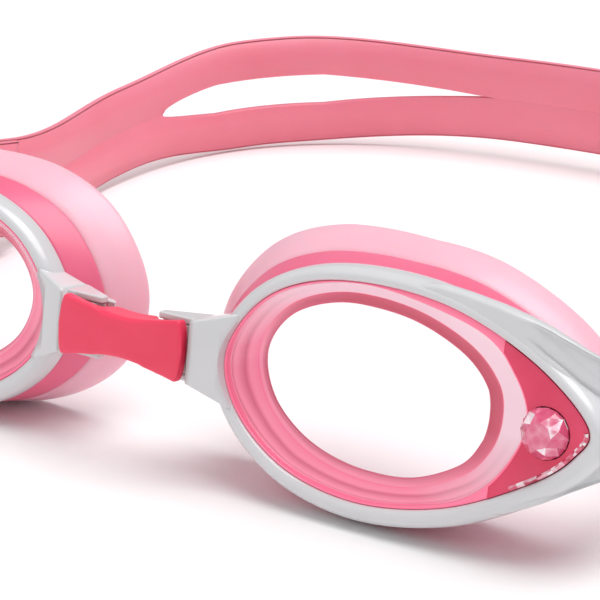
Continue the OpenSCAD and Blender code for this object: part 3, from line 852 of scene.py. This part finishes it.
def bridge_pad():
    """Soft waisted pad; its middle is thick and its ends lie over the frame arms."""
    grid = []
    middle_z = BRIDGE_LOW + BRIDGE_H / 2
    for row in range(BRIDGE_ROWS + 1):
        a = math.pi * row / BRIDGE_ROWS
        t = -math.cos(a)
        end = min(1.0, (1 - abs(t)) / END_ROUND)
        end = math.sqrt(1 - (1 - end) ** 2)
        half_h = BRIDGE_H / 2 - WAIST * (1 - abs(t) ** 1.6) - 0.45 * (1 - end)
        front = BRIDGE_FRONT + 0.4 * (1 - end)
        thick = 1 / (1 + math.exp((abs(t) * BRIDGE_HALF_W - BLOCK_HALF_W) * 4))
        back = BRIDGE_FRONT + PLATE_T + 3.4 * thick - 0.4 * (1 - end)
        ring = []
        for i in range(BRIDGE_COLUMNS):
            b = math.tau * i / BRIDGE_COLUMNS
            c, s = math.cos(b), math.sin(b)
            cy = math.copysign(abs(c) ** 0.35, c)
            cz = math.copysign(abs(s) ** 0.22, s)
            x = t * (BRIDGE_HALF_W - 0.65 * cz * cz)
            ring.append((x, (front + back) / 2 + (back - front) / 2 * cy,
                         middle_z + half_h * cz))
        grid.append(ring)
    return skin("bridge_pad", to_world(np.array(grid)), CORAL, wrap_rows=False, cap=True)


def bridge_bead(name, side):
    neck = 0.5
    a = math.degrees(math.asin(neck / BEAD_R))
    plan = [(3, HINGE_Y - neck)]
    plan += circle(HINGE_X, HINGE_Y, BEAD_R, 30, -180 + a, 180 - a)
    plan += [(3, HINGE_Y + neck)]
    return prism(f"bridge_bead_{name}", plan, "z", BRIDGE_LOW + 1.8,
                 BRIDGE_LOW + BRIDGE_H - 1.8, CORAL, side, 0.2)


# ---------------------------------------------------------------- strap

STRAP_W = 18.4
STRAP_T = 1.6
BAR_R = 1.5
LOOP_HALF_W = 87.0
SLIT_HALF_H = 3.2
SPREAD_SHARE = 0.83              # how far the two branches part at a slit
STRAIGHT = 25.6
PLY = STRAP_T / 2 + 0.3
BEND = BAR_R + 0.4 + STRAP_T / 2
ROUNDNESS = 2.5
BAR = to_world((PIN_X, BAR_Y, MID_Z)) / MM
BACK_Y = cad_bounds[1][1] / MM - STRAP_T / 2
SIDE_Y = BACK_Y - 62
LEVEL_RUN = 60.0                 # run over which the lean of the strap dies out
BACK_Z = 12.8
SLIT_FROM = 2.8                  # start and length of a slit, in thirtieths of the back turn
SLIT_RUN = 21.7


def smooth(t):
    t = min(max(t, 0.0), 1.0)
    return t * t * (3 - 2 * t)


def strap_z(s):
    run = BACK_Y - BAR[1] - STRAIGHT
    t = min(max(s - STRAIGHT, 0) / run, 1)
    z = BAR[2] - math.tan(LEAN) * min(s, STRAIGHT)
    return z + (BACK_Z - z) * smooth(t) - math.tan(LEAN) * run * t * (1 - t) ** 3


def strap_lean(s):
    return LEAN * (1 - min(max(s - STRAIGHT, 0), LEVEL_RUN) / LEVEL_RUN)


def spread(s):
    return PLY + (BEND - PLY) * (1 - smooth(s / 8))


def widening(t):
    """How much of its widest the strap has reached at a share of the slit's length."""
    return smooth((t + 0.12) / 0.4) * smooth((1.05 - t) / 0.6)


def strap_stations():
    """(x, y, half height of the slit, widening) from the left tail round to the right one."""
    half = []
    for s in np.arange(25, 0.2, -0.8):
        half.append((PIN_X - spread(s), BAR[1] + s, 0, 0))
    for a in range(180, 361, 10):
        c, q = math.cos(math.radians(a)), math.sin(math.radians(a))
        half.append((PIN_X + BEND * c, BAR[1] + BEND * q, 0, 0))
    for s in np.arange(1.6, STRAIGHT, 1.6):
        half.append((PIN_X + spread(s), BAR[1] + s, 0, 0))
    turn_y = BAR[1] + STRAIGHT
    for i in range(24):
        t = i / 24
        half.append((PIN_X + PLY + (LOOP_HALF_W - PIN_X - PLY) * smooth(t),
                     turn_y + (SIDE_Y - turn_y) * t, 0, 0))
    for i in range(121):
        a = math.radians(90 * i / 120)
        t = (i / 4 - SLIT_FROM) / SLIT_RUN
        slit = 0.0
        if 0 < t < 1:
            slit = SLIT_HALF_H * min(math.sqrt(t / 0.2), 1, (1 - t) / 0.45)
        half.append((LOOP_HALF_W * max(math.cos(a), 0) ** (2 / ROUNDNESS),
                     SIDE_Y + (BACK_Y - SIDE_Y) * math.sin(a) ** (2 / ROUNDNESS), slit,
                     widening(t)))
    return half + [(-x, y, g, w) for x, y, g, w in half[-2::-1]]


def strap_section(g, widen):
    """Corners (across the thickness, up) of the strap; the four middle ones edge the slit."""
    t, h, c = STRAP_T / 2, STRAP_W / 2 + SPREAD_SHARE * widen, 0.5
    e = min(0.3, g * 0.4)
    turns = [math.radians(a) for a in (60, 30, 0, -30, -60)]
    edge = [(t * math.sin(a), h - c + c * math.cos(a)) for a in turns]
    outer = [(t, h - c), (t, h * 0.5), (t, g + e), (t - e, g), (t - e, -g), (t, -g - e),
             (t, -h * 0.5), (t, c - h)]
    inner = [(-p, -z) for p, z in outer]
    low = [(-p, -z) for p, z in edge]
    return outer, low, inner, edge


def strap_piece():
    stations = strap_stations()
    count = len(stations)
    rows = []
    for i, (x, y, g, w) in enumerate(stations):
        a = stations[max(i - 1, 0)]
        b = stations[min(i + 1, count - 1)]
        length = math.hypot(b[0] - a[0], b[1] - a[1])
        out = np.array([(b[1] - a[1]) / length, -(b[0] - a[0]) / length, 0])
        s = y - BAR[1]
        lean = strap_lean(s)
        up = np.array([0, math.sin(lean), math.cos(lean)])
        middle = np.array([x, y, strap_z(s)])
        outer, low, inner, edge = strap_section(max(g, 0.05), SLIT_HALF_H * w)
        rows.append([middle + out * p + up * z for p, z in outer + low + inner + edge])
    grid = np.array(rows) * MM
    width = grid.shape[1]
    gap_outer, gap_inner = 3, 16
    faces = []
    for i in range(count - 1):
        cut = stations[i][2] > 0 or stations[i + 1][2] > 0
        a, b = width * i, width * (i + 1)
        for k in range(width):
            if cut and k in (gap_outer, gap_inner):
                continue
            k2 = (k + 1) % width
            faces.append((a + k, b + k, b + k2, a + k2))
        if cut:
            faces.append((a + gap_outer, b + gap_outer, b + gap_inner + 1, a + gap_inner + 1))
            faces.append((a + gap_inner, b + gap_inner, b + gap_outer + 1, a + gap_outer + 1))
            for end in (i, i + 1):
                if not stations[end][2] > 0:
                    c = width * end
                    faces.append((c + gap_outer, c + gap_outer + 1, c + gap_inner,
                                  c + gap_inner + 1))
    faces.append(tuple(range(width)))
    faces.append(tuple(width * (count - 1) + k for k in range(width - 1, -1, -1)))
    mesh = bpy.data.meshes.new("strap")
    mesh.from_pydata([tuple(p) for p in grid.reshape(-1, 3)], [], faces)
    outward(mesh)
    return link_mesh("strap_band", mesh, STRAP_PINK)


# ---------------------------------------------------------------- buckle and keeper

ARM_IN = STRAP_W / 2 + 1.3
ARM_OUT = ARM_IN + 1.9
BUCKLE_KNUCKLE = 3.2             # half height of the knuckle between those of the wing


def buckle_pieces(name, side):
    half_t = 1.4
    neck = BUCKLE_KNUCKLE
    plate = [(PIN_Y, -neck), (PIN_Y + 4, -neck), (PIN_Y + 6, -ARM_OUT), (BAR_Y + 1.2, -ARM_OUT),
             (BAR_Y + 1.8, -ARM_OUT + 0.6), (BAR_Y + 1.8, -ARM_IN), (PIN_Y + 8, -ARM_IN),
             (PIN_Y + 8, ARM_IN), (BAR_Y + 1.8, ARM_IN), (BAR_Y + 1.8, ARM_OUT - 0.6),
             (BAR_Y + 1.2, ARM_OUT), (PIN_Y + 6, ARM_OUT), (PIN_Y + 4, neck), (PIN_Y, neck)]
    body = prism(f"buckle_plate_{name}", [(y, MID_Z + z) for y, z in plate], "x",
                 PIN_X - half_t, PIN_X + half_t, WHITE, side, 0.4)
    cut_away(body, prism("cutter", circle(PIN_X, PIN_Y, PIN_BORE_R, 32), "z", 0, 25,
                         WHITE, side, 0))
    knuckle = prism(f"buckle_knuckle_{name}", circle(PIN_X, PIN_Y, KNUCKLE_R, 40), "z",
                    MID_Z - neck, MID_Z + neck, WHITE, side, 0.3)
    bar = prism(f"buckle_bar_{name}", circle(PIN_X, BAR_Y, BAR_R, 32), "z",
                MID_Z - ARM_OUT + 0.3, MID_Z + ARM_OUT - 0.3, WHITE, side, 0.1)
    ribs = [prism(f"buckle_rib_{i}_{name}",
                  [(PIN_Y + 5.2, MID_Z + z - 0.45), (PIN_Y + 7.4, MID_Z + z - 0.45),
                   (PIN_Y + 7.4, MID_Z + z + 0.45), (PIN_Y + 5.2, MID_Z + z + 0.45)],
                  "x", PIN_X + half_t - 0.3, PIN_X + half_t + 0.35, WHITE, side, 0.2)
            for i, z in enumerate((-6, -3, 0, 3, 6))]
    return [body, knuckle, bar] + ribs


KEEPER_PLAY = 0.35               # room between a keeper and the strap
KEEPER_WALL = 1.1
KEEPER_FROM = BAR_Y + 9
KEEPER_LENGTH = 6.0


def keeper_piece(name, side):
    inside = PLY + STRAP_T / 2 + KEEPER_PLAY
    tall = STRAP_W / 2 + KEEPER_PLAY
    first, length = KEEPER_FROM, KEEPER_LENGTH

    def rounded_box(grow, radius):
        points = []
        for cx, cz, start in ((1, 1, 0), (-1, 1, 90), (-1, -1, 180), (1, -1, 270)):
            for i in range(9):
                a = math.radians(start + 90 * i / 8)
                points.append((PIN_X + cx * (inside + grow - radius) + radius * math.cos(a),
                               MID_Z + cz * (tall + grow - radius) + radius * math.sin(a)))
        return np.array(points)

    inner = rounded_box(0, 0.4)
    outer = rounded_box(KEEPER_WALL, 1.2)
    keys = [at_depth(inner, first), at_depth(outer, first),
            at_depth(outer, first + length / 2),
            at_depth(outer, first + length), at_depth(inner, first + length)]
    loops, _ = rounded_keys(keys, 0.4)
    return skin(f"keeper_band_{name}", to_world(loops, side), STRAP_PINK)


# ---------------------------------------------------------------- build


def add(objects, node, body):
    """Puts finished pieces on a CAD body in place of a CAD node."""
    for obj in objects if isinstance(objects, list) else [objects]:
        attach(obj, body)
        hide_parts(node)


for name, side in SIDES.items():
    cup = f"cup_{name}"
    parts = [frame_ring(name, side), wing(name, side), arm(name, side), hook(name, side),
             hook_cap(name, side, BRIDGE_HIGH + 0.1 - CAP_T, "top"),
             hook_cap(name, side, BRIDGE_LOW - 0.1, "low")]
    parts += [wing_knuckle(name, side, MID_Z + z, i)
              for i, z in enumerate((-KNUCKLE_GAP - KNUCKLE_H, KNUCKLE_GAP))]
    add(parts, f"frame_{name}", cup)
    add(lens_piece(name, side), f"lens_{name}", cup)
    add([plate_piece(name, side), plate_trim(name, side)], f"corner_plate_{name}", cup)
    add(gem_piece(name, side), f"gem_{name}", cup)
    add(seal_base_piece(name, side), f"seal_base_{name}", cup)
    add(seal_skirt_piece(name, side), f"seal_skirt_{name}", cup)
    add(buckle_pieces(name, side), f"buckle_{name}", f"buckle_body_{name}")
    add(keeper_piece(name, side), f"keeper_{name}", f"keeper_body_{name}")
    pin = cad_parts[f"buckle_pin_{name}"]
    pin.data.materials.clear()
    pin.data.materials.append(STEEL)

add([bridge_pad()] + [bridge_bead(n, s) for n, s in SIDES.items()], "nose_bridge", "bridge")
add(strap_piece(), "strap", "strap_body")

# ---------------------------------------------------------------- floor and light


def make_floor():
    mesh = bpy.data.meshes.new("floor")
    r = 3.0
    mesh.from_pydata([(-r, -r, 0), (r, -r, 0), (r, r, 0), (-r, r, 0)], [], [(0, 1, 2, 3)])
    floor = link_mesh("floor", mesh, mottled("floor_white", (0.93, 0.93, 0.93),
                                             (0.95, 0.95, 0.95), 3, 0.9, bump=0.0))


def make_sun(name, towards, angle, strength):
    data = bpy.data.lights.new(name, "SUN")
    data.angle = math.radians(angle)
    data.energy = strength
    light = bpy.data.objects.new(name, data)
    bpy.context.scene.collection.objects.link(light)
    light.rotation_euler = Vector(towards).to_track_quat("-Z", "Y").to_euler()


make_floor()
make_sun("key", (-0.25, -0.1, -1), 50, 2.6)
make_sun("fill", (0.6, 0.9, -0.6), 70, 0.5)
world = bpy.data.worlds.new("world")
bpy.context.scene.world = world
world.use_nodes = True
world.node_tree.nodes["Background"].inputs["Color"].default_value = (1, 1, 1, 1)
world.node_tree.nodes["Background"].inputs["Strength"].default_value = 0.32
bpy.context.scene.view_settings.view_transform = "Standard"

bpy.context.view_layer.update()
